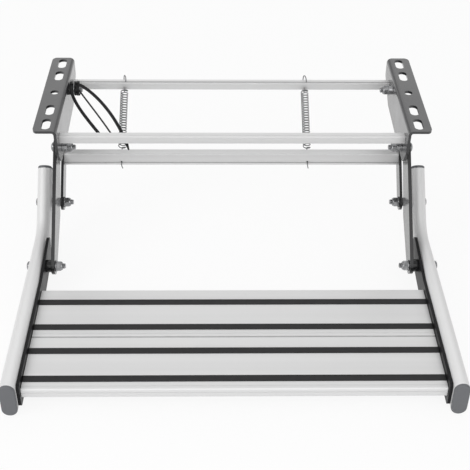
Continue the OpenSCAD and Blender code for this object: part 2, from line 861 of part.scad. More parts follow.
bracket_left();
bracket_right();
rear_cross_rail();
front_cross_rail();
rail_screws();
bracket_pivot_bolts();
bracket_pivot_nuts();
bracket_pivot_washers();
cable_tie_long();
cable_tie_flat();
cable_tie_short();
front_link_left();
front_link_right();
rear_link_left();
rear_link_right();
spring_rail();
spring_rail_screws();
spring_left();
spring_right();
side_tube_left();
side_tube_right();
front_cap_left();
front_cap_right();
top_cap_left();
top_cap_right();
side_angle_left();
side_angle_right();
angle_rivets();
rear_tread_plank();
front_tread_plank();
rear_grip_strips();
front_grip_strips();
plank_screws();
step_pivot_bolts();
step_pivot_nuts();
step_pivot_washers();
step_pivot_spacers();
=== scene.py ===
"""Folding single entry step for a caravan, let down on a pale floor.
Lengths are in metres: X across the doorway, Y back under the caravan, Z up."""

import json
import math

import bmesh
import bpy
import numpy as np
from mathutils import Matrix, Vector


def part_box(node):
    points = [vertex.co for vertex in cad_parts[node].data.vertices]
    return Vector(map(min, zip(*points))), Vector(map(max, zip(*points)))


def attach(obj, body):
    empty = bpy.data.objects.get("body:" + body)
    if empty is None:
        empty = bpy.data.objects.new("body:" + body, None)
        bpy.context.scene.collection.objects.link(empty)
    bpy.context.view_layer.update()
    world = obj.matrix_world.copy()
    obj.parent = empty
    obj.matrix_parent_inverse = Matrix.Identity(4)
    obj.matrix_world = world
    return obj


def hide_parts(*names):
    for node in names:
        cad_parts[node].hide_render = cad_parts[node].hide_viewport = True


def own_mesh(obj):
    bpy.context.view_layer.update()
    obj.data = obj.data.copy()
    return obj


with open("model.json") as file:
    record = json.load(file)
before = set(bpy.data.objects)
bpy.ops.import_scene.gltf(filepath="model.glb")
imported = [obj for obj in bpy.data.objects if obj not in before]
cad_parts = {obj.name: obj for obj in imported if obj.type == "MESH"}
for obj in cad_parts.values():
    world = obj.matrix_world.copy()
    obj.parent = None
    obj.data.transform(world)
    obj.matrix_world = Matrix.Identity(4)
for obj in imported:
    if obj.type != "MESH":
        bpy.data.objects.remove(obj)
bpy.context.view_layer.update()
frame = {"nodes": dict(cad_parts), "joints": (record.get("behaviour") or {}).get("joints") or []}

# Viewpoint
# The step is seen from the front and well above, as a person looks down on it when it lies on the floor of
# a studio. The lens is long, so the tread looks only a little wider than the brackets behind it.
LENS_PX, FRAME_PX = 976.4, 470
SENSOR_WIDTH = 36.0
EYE = (-0.0216, -1.1106, 0.9131)
HEADING, LOOK_DOWN, ROLL = -1.282, 37.229, 0.716
camera_data = bpy.data.cameras.new("viewpoint")
camera_data.sensor_width = SENSOR_WIDTH
camera_data.lens = LENS_PX / FRAME_PX * SENSOR_WIDTH
camera_data.clip_end = 30.0
camera = bpy.data.objects.new("viewpoint", camera_data)
bpy.context.scene.collection.objects.link(camera)
camera.location = EYE
heading = Matrix.Rotation(math.radians(HEADING), 3, "Z")
tilt = Matrix.Rotation(math.radians(90 - LOOK_DOWN), 3, "X")
roll = Matrix.Rotation(math.radians(ROLL), 3, "Z")
camera.rotation_euler = (heading @ tilt @ roll).to_euler()
bpy.context.scene.camera = camera
bpy.context.scene.view_settings.view_transform = "Standard"

# Side tubes
# Each side of the step is one length of flat oval aluminium tube, silver anodised, bent up once behind the
# tread. The pivot bolts of both links pass through it.
TUBE_THICK = 0.020
TUBE_DEEP = 0.050
TUBE_BEND = 0.070
TUBE_LEG = 0.104
TUBE_RUN = 0.323
LEG_ANGLE = math.radians(45)
BEND_RINGS = 25
# Most of a noise lies between these two values, so a finish is spread over them.
NOISE_LOW, NOISE_HIGH = 0.3, 0.7


def flat_oval(thick, deep, inset=0.0, count=24):
    """Outline of a flat oval as rows of (across, up): two half circles of radius thick / 2 - inset whose
    centres stand (deep - thick) / 2 above and below the middle."""
    half = (deep - thick) / 2
    turn = np.linspace(0, math.pi, count)
    ring = (thick / 2 - inset) * np.stack([np.cos(turn), np.sin(turn)], 1)
    return np.concatenate([ring + [0, half], -ring - [0, half]])


def smooth(mesh, sharp=35):
    """Turns every face the right way out and shades it smooth up to a sharp angle in degrees."""
    work = bmesh.new()
    work.from_mesh(mesh)
    bmesh.ops.recalc_face_normals(work, faces=work.faces)
    work.to_mesh(mesh)
    work.free()
    mesh.shade_smooth()
    mesh.set_sharp_from_angle(angle=math.radians(sharp))


def closed_skin(name, grid, round_rows=False, uv=None):
    """A mesh from a grid of points, rows by columns. Columns join round into a ring. Rows either join round
    too, or end in a flat face at the first and the last row."""
    rows, cols = grid.shape[:2]
    index = np.arange(rows * cols).reshape(rows, cols)
    nxt = np.roll(index, -1, axis=1)
    last = rows if round_rows else rows - 1
    below, above = index[:last], np.roll(index, -1, axis=0)[:last]
    below_n, above_n = nxt[:last], np.roll(nxt, -1, axis=0)[:last]
    faces = np.stack([below, below_n, above_n, above], -1).reshape(-1, 4).tolist()
    if not round_rows:
        faces += [index[0][::-1].tolist(), index[-1].tolist()]
    mesh = bpy.data.meshes.new(name)
    mesh.from_pydata(grid.reshape(-1, 3).tolist(), [], faces)
    if uv is not None:
        layer = mesh.uv_layers.new(name="along")
        corner = np.empty(len(mesh.loops), dtype=np.int32)
        mesh.loops.foreach_get("vertex_index", corner)
        layer.uv.foreach_set("vector", uv.reshape(-1, 2)[corner].astype(np.float32).ravel())
    smooth(mesh)
    piece = bpy.data.objects.new(name, mesh)
    bpy.context.scene.collection.objects.link(piece)
    return piece


def fit(piece, finish, body, node):
    """Gives a piece its finish, the body it rides on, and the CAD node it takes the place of."""
    piece.data.materials.append(finish)
    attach(piece, body)
    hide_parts(node)


def shader(name):
    """A new material with its node tree and its Principled shader."""
    material = bpy.data.materials.new(name)
    material.use_nodes = True
    tree = material.node_tree
    return material, tree, tree.nodes["Principled BSDF"]


def coordinates(tree, output="Object"):
    """The place on the piece that a pattern is read at: its own object coordinates, or its UV map."""
    return tree.nodes.new("ShaderNodeTexCoord").outputs[output]


def grain(tree, source, scale, detail):
    """Noise read from a coordinate source after scaling each axis, which draws it out into streaks."""
    stretch = tree.nodes.new("ShaderNodeMapping")
    stretch.inputs["Scale"].default_value = scale
    noise = tree.nodes.new("ShaderNodeTexNoise")
    noise.inputs["Scale"].default_value = 1.0
    noise.inputs["Detail"].default_value = detail
    tree.links.new(source, stretch.inputs["Vector"])
    tree.links.new(stretch.outputs["Vector"], noise.inputs["Vector"])
    return noise.outputs["Fac"]


def tinted(tree, fac, dark, light):
    """A colour between dark and light, driven by a noise."""
    ramp = tree.nodes.new("ShaderNodeValToRGB")
    ramp.color_ramp.elements[0].position = NOISE_LOW
    ramp.color_ramp.elements[0].color = (*dark, 1)
    ramp.color_ramp.elements[1].position = NOISE_HIGH
    ramp.color_ramp.elements[1].color = (*light, 1)
    tree.links.new(fac, ramp.inputs["Fac"])
    return ramp.outputs["Color"]


def spread(tree, fac, low, high):
    """A value between low and high, driven by a noise."""
    reach = tree.nodes.new("ShaderNodeMapRange")
    reach.inputs["From Min"].default_value = NOISE_LOW
    reach.inputs["From Max"].default_value = NOISE_HIGH
    reach.inputs["To Min"].default_value = low
    reach.inputs["To Max"].default_value = high
    tree.links.new(fac, reach.inputs["Value"])
    return reach.outputs["Result"]


def bumped(tree, fac, strength, distance):
    """A surface normal raised by a noise, at most distance high."""
    bump = tree.nodes.new("ShaderNodeBump")
    bump.inputs["Strength"].default_value = strength
    bump.inputs["Distance"].default_value = distance
    tree.links.new(fac, bump.inputs["Height"])
    return bump.outputs["Normal"]


def dress(tree, surface, colour, roughness, relief):
    """Drives a shader's colour, roughness and normal. Each is given by its noise and two values: the darker
    and the lighter colour, the least and the most roughness, the strength and the height of the relief."""
    tree.links.new(tinted(tree, *colour), surface.inputs["Base Color"])
    tree.links.new(spread(tree, *roughness), surface.inputs["Roughness"])
    tree.links.new(bumped(tree, *relief), surface.inputs["Normal"])


def shades(colour, dark=1.0, light=1.0):
    """The same colour twice, each time brought down or up by its own share."""
    return tuple(c * dark for c in colour), tuple(c * light for c in colour)


def drawn_aluminium(name, scale, output="Object", tone=0.735, metal=0.35):
    """Silver anodised extrusion: die lines drawn out along the bar, and a broad, faint change of tone up to
    the given one."""
    cloud_size, tone_fall = 0.06, 0.05
    material, tree, surface = shader(name)
    where = coordinates(tree, output)
    lines = grain(tree, where, scale, 5.0)
    cloud = grain(tree, where, tuple(s * cloud_size for s in scale), 2.0)
    tones = (tone - tone_fall,) * 3, (tone,) * 3
    dress(tree, surface, colour=(cloud, *tones), roughness=(lines, 0.42, 0.52), relief=(lines, 0.06, 0.0001))
    surface.inputs["Metallic"].default_value = metal
    return material


tube_finish = drawn_aluminium("anodised_tube", (900.0, 6.0, 1.0), "UV", 0.80, 0.18)


def arc_length(points):
    """How far along a broken line each of its points is."""
    return np.concatenate([[0], np.cumsum(np.linalg.norm(np.diff(points, axis=0), axis=1))])


def side_tube(side):
    """The tube's outline carried along a straight run, an arc about an axis across the step, and a
    straight leg: at distance s the middle of the tube is the path point and its up direction is square
    to the path."""
    low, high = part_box("side_tube_" + side)
    middle = (low[0] + high[0]) / 2
    back = TUBE_BEND * math.tan(LEG_ANGLE / 2)
    start, bend_y = low[1], low[1] + TUBE_RUN - back
    turn = np.linspace(0, LEG_ANGLE, BEND_RINGS)
    arc = np.stack([bend_y + TUBE_BEND * np.sin(turn), TUBE_DEEP / 2 + TUBE_BEND * (1 - np.cos(turn))], 1)
    end = arc[-1] + (TUBE_LEG - back) * np.array([math.cos(LEG_ANGLE), math.sin(LEG_ANGLE)])
    path = np.concatenate([[[start, TUBE_DEEP / 2]], arc, [end]])
    angle = np.concatenate([[0], turn, [LEG_ANGLE]])
    outline = flat_oval(TUBE_THICK, TUBE_DEEP)
    up = np.stack([-np.sin(angle), np.cos(angle)], 1)
    grid = np.empty((len(path), len(outline), 3))
    grid[..., 0] = middle + outline[None, :, 0]
    grid[..., 1] = path[:, None, 0] + outline[None, :, 1] * up[:, None, 0]
    grid[..., 2] = path[:, None, 1] + outline[None, :, 1] * up[:, None, 1]
    uv = np.stack(np.broadcast_arrays(arc_length(outline)[None, :], arc_length(path)[:, None]), -1)
    fit(closed_skin("tube_" + side, grid, uv=uv), tube_finish, "step", "side_tube_" + side)


side_tube("left")
side_tube("right")

# End caps
# Plugs of grey plastic, moulded in one piece and pressed into both ends of each tube. Only the rounded
# plate outside the tube shows.
CAP_RIM = np.array([
    [0.0, 0.0], [0.0, 0.0022], [0.0002, 0.0029], [0.0006, 0.0035], [0.0012, 0.0039], [0.0020, 0.0040],
])


def moulded_plastic(name, colour, grain_scale=1400.0, sheen=0.5):
    """Matt moulded plastic: a spark-eroded texture as fine noise in height, and a little change of gloss.
    A low sheen keeps black pieces deep."""
    material, tree, surface = shader(name)
    where = coordinates(tree)
    fine = grain(tree, where, (grain_scale,) * 3, 2.0)
    broad = grain(tree, where, (60.0,) * 3, 3.0)
    tones = shades(colour, dark=0.93)
    dress(tree, surface, colour=(broad, *tones), roughness=(broad, 0.45, 0.58), relief=(fine, 0.25, 0.0002))
    surface.inputs["Specular IOR Level"].default_value = sheen
    return material


cap_finish = moulded_plastic("grey_cap_plastic", (0.134, 0.138, 0.147))


def end_cap(end, side):
    """Rings of the tube's outline, each drawn in by the rim's first figure and raised by its second, from
    the tube's end outwards."""
    low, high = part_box("side_tube_" + side)
    middle = (low[0] + high[0]) / 2
    if end == "front":
        seat, out, up = np.array([low[1], TUBE_DEEP / 2]), np.array([-1.0, 0.0]), np.array([0.0, 1.0])
    else:
        out = np.array([math.cos(LEG_ANGLE), math.sin(LEG_ANGLE)])
        up = np.array([-out[1], out[0]])
        seat = np.array([low[1] + TUBE_RUN, TUBE_DEEP / 2]) + TUBE_LEG * out
    rings = np.stack([flat_oval(TUBE_THICK, TUBE_DEEP, inset) for inset in CAP_RIM[:, 0]])
    grid = np.empty((len(rings), rings.shape[1], 3))
    grid[..., 0] = middle + rings[..., 0]
    for axis in (0, 1):
        grid[..., axis + 1] = seat[axis] + rings[..., 1] * up[axis] + CAP_RIM[:, 1, None] * out[axis]
    fit(closed_skin(f"{end}_cap_{side}_plate", grid), cap_finish, "step", f"{end}_cap_{side}")


for cap_side in ("left", "right"):
    end_cap("front", cap_side)
    end_cap("top", cap_side)

# Tread planks
# Two hollow aluminium extrusions, silver anodised, lie side by side with a narrow joint. Each has two
# undercut grooves for the grip strips and fine ridges near its edges.
# An eased edge is given by its width and the number of flats that round it.
FINE_EDGE = (0.0002, 1)
MERGE_WITHIN = 2e-6
FLAT_WITHIN = math.radians(0.6)
SHARP_ABOVE = math.radians(32)
JOINT_BACK, JOINT_DROP = 0.0013, 0.0006
plank_finish = drawn_aluminium("anodised_plank", (5.0, 900.0, 900.0))


def eased(node, name, body, finish, edge):
    """The CAD piece with its loose triangles merged into flat faces and every sharp edge rounded over, as
    a deburred or coated edge is."""
    mesh = frame["nodes"][node].data.copy()
    mesh.materials.clear()
    work = bmesh.new()
    work.from_mesh(mesh)
    bmesh.ops.remove_doubles(work, verts=work.verts, dist=MERGE_WITHIN)
    bmesh.ops.dissolve_limit(
        work, angle_limit=FLAT_WITHIN, verts=work.verts, edges=work.edges, use_dissolve_boundaries=False
    )
    work.to_mesh(mesh)
    work.free()
    mesh.shade_smooth()
    piece = bpy.data.objects.new(name, mesh)
    bpy.context.scene.collection.objects.link(piece)
    bevel = piece.modifiers.new("edge", "BEVEL")
    bevel.width, bevel.segments = edge
    bevel.limit_method = "ANGLE"
    bevel.angle_limit = SHARP_ABOVE
    bevel.harden_normals = True
    bevel.use_clamp_overlap = True
    piece.modifiers.new("flat_faces", "WEIGHTED_NORMAL").weight = 100
    fit(piece, finish, body, node)
    return piece


def shade_faces(piece, name, tone, chosen):
    """Paints shade onto some faces in a dull dark colour, as the shade that a groove or a joint holds.
    chosen picks them from their middles, rows of x, y, z."""
    finish, tree, surface = shader(name)
    cloud = grain(tree, coordinates(tree), (60.0,) * 3, 2.0)
    tones = shades((tone,) * 3, dark=0.85)
    tree.links.new(tinted(tree, cloud, *tones), surface.inputs["Base Color"])
    surface.inputs["Roughness"].default_value = 0.8
    surface.inputs["Specular IOR Level"].default_value = 0.1
    piece.data.materials.append(finish)
    middle = np.empty(len(piece.data.polygons) * 3)
    piece.data.polygons.foreach_get("center", middle)
    piece.data.polygons.foreach_set("material_index", chosen(middle.reshape(-1, 3)).astype(np.int32))


def in_joint(middle):
    """The lower part of the rear plank's rounded front edge, which faces the front plank."""
    low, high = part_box("rear_tread_plank")
    return (middle[:, 1] < low[1] + JOINT_BACK) & (middle[:, 2] < high[2] - JOINT_DROP)


rear_plank = eased("rear_tread_plank", "plank_rear", "step", plank_finish, FINE_EDGE)
# The lower part of the rear plank's rounded front edge gets painted shade, a dark line along the joint.
shade_faces(rear_plank, "joint_shade", 0.52, in_joint)
eased("front_tread_plank", "plank_front", "step", plank_finish, FINE_EDGE)

# Grip strips
# Black rubber strips with a ribbed top, extruded and cut to the tread's width. They slide into the grooves
# of the planks from their ends.
strip_finish = moulded_plastic("ribbed_rubber", (0.022, 0.022, 0.023), 900.0, 0.3)
eased("rear_grip_strips", "strips_rear", "step", strip_finish, FINE_EDGE)
eased("front_grip_strips", "strips_front", "step", strip_finish, FINE_EDGE)

# Side angles
# Black powder-coated steel angles between the planks and the tubes. The foot carries the planks, and the
# upright is riveted to the tube and runs back to the front link's pivot.
ANGLE_EDGE = (0.0006, 2)


def powder_coat(name, colour=(0.021, 0.021, 0.023), film=(0.8, 0.12, 1.42), sheen=0.45):
    """Powder coat: a satin black film with a faint orange-peel ripple and slightly uneven gloss. The film
    is given by its share, its roughness and its refractive index."""
    material, tree, surface = shader(name)
    where = coordinates(tree)
    peel = grain(tree, where, (420.0,) * 3, 2.0)
    broad = grain(tree, where, (25.0,) * 3, 3.0)
    tones = shades(colour, dark=0.85, light=1.2)
    dress(tree, surface, colour=(broad, *tones), roughness=(broad, 0.30, 0.40), relief=(peel, 0.15, 0.0002))
    surface.inputs["Specular IOR Level"].default_value = sheen
    for figure, value in zip(("Weight", "Roughness", "IOR"), film):
        surface.inputs["Coat " + figure].default_value = value
    return material


black_coat = powder_coat("black_powder_coat")
matt_black = powder_coat("matt_black_coat", (0.012, 0.012, 0.013), (0.0, 0.3, 1.4), 0.12)
deep_black = powder_coat("deep_black_coat", (0.010, 0.010, 0.011), (1.0, 0.12, 1.3), 0.2)
for side in ("left", "right"):
    eased("side_angle_" + side, "angle_" + side, "step", matt_black, ANGLE_EDGE)

# Mounting brackets
# Each bracket is one steel plate folded along its length and powder coated. The slotted flange bolts up
# under the floor, and the web below it carries the links' pivots.
BRACKET_EDGE = (0.0008, 2)
for side in ("left", "right"):
    eased("bracket_" + side, "folded_bracket_" + side, "frame", black_coat, BRACKET_EDGE)

# Links
# Flat steel plates, powder coated, swing in pairs on each side: a broad one in front and a plain bar
# behind it.
LINK_EDGE = (0.0007, 2)
for side in ("left", "right"):
    eased("front_link_" + side, "broad_link_" + side, "front_links", deep_black, LINK_EDGE)
    eased("rear_link_" + side, "bar_link_" + side, "rear_links", deep_black, LINK_EDGE)

# Cross rails
# Square aluminium extrusions between the brackets, with a groove near the upper front edge. Countersunk
# screws hold them through the webs.
rail_finish = drawn_aluminium("anodised_rail", (5.0, 900.0, 900.0))
GROOVE_DEPTH = 0.0008
GROOVE_FROM_MIDDLE = 0.0055


def in_groove(middle):
    """The floor and walls of the groove: faces more than a quarter of its depth below the rail's top."""
    below = middle[:, 2].max() - middle[:, 2]
    inside = np.abs(middle[:, 1] - middle[:, 1].mean()) < GROOVE_FROM_MIDDLE
    return (below > GROOVE_DEPTH / 4) & (below < GROOVE_DEPTH * 1.2) & inside


rear_rail_piece = eased("rear_cross_rail", "rail_rear", "frame", rail_finish, FINE_EDGE)
# The floor and walls of the rear rail's groove get painted shade, nearly black.
shade_faces(rear_rail_piece, "groove_shade", 0.03, in_groove)
eased("front_cross_rail", "rail_front", "frame", rail_finish, FINE_EDGE)
eased("rail_screws", "countersunk_screws", "frame", black_coat, FINE_EDGE)

# Spring rail
# A deeper aluminium extrusion that ties the two rear links together and takes the front ends of the
# springs. A zinc-plated screw through each link holds it.
FRONT_GROOVE_BACK = (0.0001, 0.0006)
FRONT_GROOVE_UP = (0.0043, 0.0057)


def in_front_groove(middle):
    """The groove low on the rail's front face, half a millimetre deep."""
    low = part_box("spring_rail")[0]
    behind, above = middle[:, 1] - low[1], middle[:, 2] - low[2]
    in_depth = (behind > FRONT_GROOVE_BACK[0]) & (behind < FRONT_GROOVE_BACK[1])
    return in_depth & (above > FRONT_GROOVE_UP[0]) & (above < FRONT_GROOVE_UP[1])


spring_rail_piece = eased("spring_rail", "rail_spring", "rear_links", rail_finish, FINE_EDGE)
# The groove low on the spring rail's front face gets painted shade.
shade_faces(spring_rail_piece, "front_groove_shade", 0.32, in_front_groove)


def zinc_plate(name, dark=(0.22, 0.225, 0.23), light=(0.44, 0.44, 0.45)):
    """Bright zinc plating on steel: metallic, a little cloudy, with fine handling marks in its gloss."""
    material, tree, surface = shader(name)
    where = coordinates(tree)
    cloud = grain(tree, where, (160.0,) * 3, 4.0)
    marks = grain(tree, where, (900.0, 300.0, 600.0), 3.0)
    tones = dark, light
    dress(tree, surface, colour=(cloud, *tones), roughness=(marks, 0.14, 0.28), relief=(marks, 0.1, 0.0001))
    surface.inputs["Metallic"].default_value = 1.0
    return material


TURNED_EDGE = (0.0003, 2)
zinc_finish = zinc_plate("bright_zinc")
eased("spring_rail_screws", "spring_rail_bolts", "rear_links", zinc_finish, TURNED_EDGE)

# Springs
# Two tension springs of zinc-plated wire pull the spring rail towards the rear cross rail. Their wire is
# bent to a loop about the rear rail, and in front it goes through the spring rail and is bent over.
SPRING_X = {"left": -0.166, "right": 0.114}
WIRE = 0.0015
COIL_MEAN = (0.0124 - WIRE) / 2
COIL_TURNS, TURN_POINTS = 22, 28
COIL_STEP, HOOK_STEP = 0.0007, 0.0005
spring_finish = zinc_plate("spring_wire", (0.15, 0.154, 0.158), (0.26, 0.262, 0.267))


def middle_of(node):
    """The middle of a CAD piece's box, back and up."""
    low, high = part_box(node)
    return ((np.array(low) + np.array(high)) / 2)[1:]


rear_rail, spring_rail = middle_of("rear_cross_rail"), middle_of("spring_rail")
spring_span = np.linalg.norm(spring_rail - rear_rail)
spring_along = (spring_rail - rear_rail) / spring_span
spring_square = np.array([-spring_along[1], spring_along[0]])
COIL_FROM, COIL_TO = 0.0120, spring_span - 0.0168
ACROSS, ALONG = np.array([1.0, 0.0, 0.0]), np.array([0.0, 1.0, 0.0])


def evenly(points, step):
    """Places at equal steps of arc length along a broken line."""
    gone = arc_length(points)
    want = np.linspace(0, gone[-1], int(gone[-1] / step))
    return np.stack([np.interp(want, gone, points[:, k]) for k in range(3)], 1)


def eased_line(points, reach):
    """Moving average over reach points each way, which rounds the corners and keeps both ends."""
    padded = np.concatenate([np.repeat(points[:1], reach, 0), points, np.repeat(points[-1:], reach, 0)])
    window = np.ones(2 * reach + 1) / (2 * reach + 1)
    return np.stack([np.convolve(padded[:, k], window, "valid") for k in range(3)], 1)


def carried_ring(path, side_ways, radius, count=10):
    """A circle of the wire's radius carried along the path, square to it. side_ways is a direction, or one
    for each point, that is never along the path."""
    along = np.gradient(path, axis=0)
    along /= np.linalg.norm(along, axis=1, keepdims=True)
    first = side_ways - (side_ways * along).sum(1, keepdims=True) * along
    first /= np.linalg.norm(first, axis=1, keepdims=True)
    second = np.cross(along, first)
    turn = np.linspace(0, 2 * math.pi, count, endpoint=False)[None, :, None]
    return path[:, None] + radius * (np.cos(turn) * first[:, None] + np.sin(turn) * second[:, None])


def spring_piece(name, side, local, side_ways, body):
    """A piece of spring wire from its middle line in the spring's own directions: across, along from the
    rear rail towards the spring rail, and square to both."""
    basis = np.array([[1.0, 0.0, 0.0], [0.0, *spring_along], [0.0, *spring_square]])
    path = np.array([SPRING_X[side], *rear_rail]) + local @ basis
    piece = closed_skin(name, carried_ring(path, side_ways @ basis, WIRE / 2))
    fit(piece, spring_finish, body, "spring_" + side)
    return piece


# The eyes in which the coil's wire ends: how far each stands off the coil, and its half widths along the
# spring and square to it. Each takes a small share of the wire's length.
UPPER_EYE_OFF, UPPER_EYE = 0.0010, (0.0012, 0.0024)
LOWER_EYE_OFF, LOWER_EYE = 0.0004, (0.0015, 0.0020)
EYE_SHARE, EYE_BLEND = 0.012, 12


def coil(side):
    """A helix of COIL_TURNS turns between COIL_FROM and COIL_TO along the spring. At each end the wire runs
    on round three quarters of an ellipse in the plane of the hooks, which is the eye. The ring's side
    direction goes over from along the spring to across it where the coil becomes an eye."""
    turn = np.linspace(0, 2 * math.pi * COIL_TURNS, COIL_TURNS * TURN_POINTS)
    climb = COIL_FROM + (COIL_TO - COIL_FROM) * turn / turn[-1]
    helix = np.stack([COIL_MEAN * np.cos(turn), climb, -COIL_MEAN * np.sin(turn)], 1)
    eye = np.linspace(0, 1.5 * math.pi, 12)
    before = COIL_FROM - UPPER_EYE_OFF - UPPER_EYE[0] * (1 - np.cos(eye))
    after = COIL_TO + LOWER_EYE_OFF + LOWER_EYE[0] * (1 - np.cos(eye))
    upper = np.stack([0 * eye, before, UPPER_EYE[1] * np.sin(eye)], 1)[::-1]
    lower = np.stack([0 * eye, after, LOWER_EYE[1] * np.sin(eye)], 1)
    local = eased_line(evenly(np.concatenate([upper, helix, lower]), COIL_STEP), reach=2)
    first, last = len(local) * EYE_SHARE, len(local) * (1 - EYE_SHARE)
    place = np.arange(len(local))
    in_coil = np.clip(np.minimum(place - first, last - place) / EYE_BLEND, -1, 1)[:, None] * 0.5 + 0.5
    side_ways = in_coil * ALONG + (1 - in_coil) * ACROSS
    piece = spring_piece("spring_coil_" + side, side, local, side_ways, "springs")
    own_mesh(piece)


# The rear hook: where its loop starts and ends, its radius, the bell that stands up behind the rail, the
# lean across the step, and the shank that runs on into the coil's eye, measured from the coil's start.
LOOP_FROM, LOOP_TO, LOOP_POINTS = math.radians(25), math.radians(278), 90
LOOP_R, LOOP_X = 0.0097, -0.0015
BELL_HIGH, BELL_AT, BELL_WIDE = 0.0043, math.radians(208), math.radians(24)
LEAN, LEAN_AT, LEAN_WIDE = 0.0040, math.radians(214), math.radians(9)
SHANK = np.array([[0.0, 0.0006, 0.0006], [0.0, -0.0008, 0.0032]])


def rear_hook(side):
    """A loop of wire about the rear rail's middle line, outside the rail's corners, that runs on into the
    coil's eye: its radius swells by a bell curve where it stands up behind the rail, and it leans across
    the step from there to its end. It turns about the rail with the spring."""
    turn = np.linspace(LOOP_FROM, LOOP_TO, LOOP_POINTS)
    radius = LOOP_R + BELL_HIGH * np.exp(-(((turn - BELL_AT) / BELL_WIDE) ** 2))
    lean = LEAN / (1 + np.exp(-(turn - LEAN_AT) / LEAN_WIDE)) + LOOP_X
    loop = np.stack([lean, radius * np.cos(turn), radius * np.sin(turn)], 1)
    wire = np.concatenate([SHANK + COIL_FROM * ALONG, loop])
    local = eased_line(evenly(wire, HOOK_STEP), reach=2)
    spring_piece("spring_rear_hook_" + side, side, local, ACROSS, "springs")


# Corners of the front hook, measured from the coil's end and from the spring rail's middle.
HOOK_AT_COIL = np.array([[0.0, 0.0016, 0.0012], [0.0, 0.0030, 0.0]])
HOOK_AT_RAIL = np.array([
    [0.0, 0.0, 0.0], [0.0, 0.0115, 0.0], [0.0004, 0.0140, 0.0030], [0.0016, 0.0150, 0.0080],
])


def front_hook(side):
    """The wire from the coil's lower eye to the spring rail, through the hole in it, with its end bent over
    below. It swings with the rail."""
    corners = np.concatenate([HOOK_AT_COIL + COIL_TO * ALONG, HOOK_AT_RAIL + spring_span * ALONG])
    local = eased_line(evenly(corners, HOOK_STEP), reach=3)
    spring_piece("spring_front_hook_" + side, side, local, ACROSS, "rear_links")


for side in ("left", "right"):
    coil(side)
    rear_hook(side)
    front_hook(side)

# Pivot hardware
# Zinc-plated M8 bolts with domed heads, thick washers and lock nuts with a nylon ring hold the links.
# Tube spacers keep the step's bolts clear of the links.
BOLT_R, TIP_LONG, TIP_DEEP = 0.004, 0.0008, 0.0011
THREAD_PITCH, THREAD_LONG, THREAD_DEPTH, THREAD_RINGS = 0.00125, 0.018, 0.0007, 7
DOME_FOOT, DOME_HIGH, DOME_FLAT, DOME_WIDE = 0.0009, 0.0035, 0.002, 0.005
DOME_LEAN = math.radians(80)
# The head's outline above and below its dome, as rows of (along, radius).
HEAD_TOP = np.array([[-0.0044, 0.0004], [-0.0044, 0.002]])
HEAD_RIM = np.array([[-0.0001, 0.0069], [0.0, 0.0067]])
for nuts_at, body in (("bracket_pivot", "frame"), ("step_pivot", "step")):
    eased(nuts_at + "_nuts", nuts_at + "_lock_nuts", body, zinc_finish, FINE_EDGE)
    eased(nuts_at + "_washers", nuts_at + "_flat_washers", body, zinc_finish, TURNED_EDGE)
eased("step_pivot_spacers", "tube_spacers", "step", deep_black, TURNED_EDGE)


def domed_bolt(name, pivot, face, tip, columns=32):
    """A surface turned about the pivot's axis: at distance s inward from the head's bearing face its radius
    is the dome's, then the shank's, and over the threaded length the shank's less a triangle wave that
    climbs one pitch for each turn, which is the thread."""
    length = abs(face - tip)
    lean = np.linspace(DOME_LEAN, 0, 9)
    dome = np.stack([-DOME_FOOT - DOME_HIGH * np.sin(lean), DOME_FLAT + DOME_WIDE * np.cos(lean)], 1)
    head = np.concatenate([HEAD_TOP, dome, HEAD_RIM])
    thread_from = max(length - THREAD_LONG, 0.0005)
    thread_s = np.arange(thread_from, length - TIP_LONG, THREAD_PITCH / THREAD_RINGS)
    shank_s = np.concatenate([head[:, 0], [0.0, thread_from - 0.0001], thread_s, [length]])
    shank_r = np.concatenate([head[:, 1], np.full(2 + len(thread_s), BOLT_R), [BOLT_R - TIP_DEEP]])
    threaded = np.concatenate([np.zeros(len(head) + 2), np.ones(len(thread_s)), [0]])
    turn = np.linspace(0, 2 * math.pi, columns, endpoint=False)
    climb = shank_s[:, None] / THREAD_PITCH - turn[None] / (2 * math.pi)
    radius = shank_r[:, None] - THREAD_DEPTH * np.abs(2 * (climb % 1) - 1) * threaded[:, None]
    grid = np.empty((len(shank_s), columns, 3))
    grid[..., 0] = face - math.copysign(1, face) * shank_s[:, None]
    grid[..., 1] = pivot[0] + radius * np.cos(turn)
    grid[..., 2] = pivot[1] + radius * np.sin(turn)
    return closed_skin(name, grid)


def pivot_of(joint_name):
    """The place of a joint's axis in the CAD pack, back and up."""
    return np.array([joint["pos_m"] for joint in frame["joints"] if joint["name"] == joint_name][0][1:])


WASHER, NUT, THREAD_OUT, RUNNING_GAP, WEB_SPACER = 0.0016, 0.008, 0.004, 0.0003, 0.006
STACK = WASHER + NUT + THREAD_OUT
front_pivot, rear_pivot, step_pivot = map(pivot_of, ("front_link_swing", "rear_link_swing", "step_swing"))
open_pivot = rear_pivot + step_pivot - front_pivot
web_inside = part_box("rear_cross_rail")[1][0]
tube_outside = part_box("side_tube_right")[1][0]
rear_in, rear_out = (corner[0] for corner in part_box("rear_link_right"))
front_in, front_out = (corner[0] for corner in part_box("front_link_right"))
bracket_tip = web_inside - WEB_SPACER - STACK
# Each bolt: its piece and body, the CAD piece, its axis, and the places of its bearing face and its tip.
stacks = (
    ("rear_bracket", "frame", "bracket_pivot_bolts", rear_pivot, rear_out + RUNNING_GAP, bracket_tip),
    ("front_bracket", "frame", "bracket_pivot_bolts", front_pivot, front_out + RUNNING_GAP, bracket_tip),
    ("rear_step", "step", "step_pivot_bolts", open_pivot, tube_outside, rear_in - RUNNING_GAP - STACK),
    ("front_step", "step", "step_pivot_bolts", step_pivot, tube_outside, front_in - RUNNING_GAP - STACK),
)
for stack, stack_body, stack_node, pivot, face_x, tip_x in stacks:
    for sign, side in ((-1, "left"), (1, "right")):
        bolt = domed_bolt(f"{stack}_bolt_{side}", pivot, sign * face_x, sign * tip_x)
        fit(bolt, zinc_finish, stack_body, stack_node)

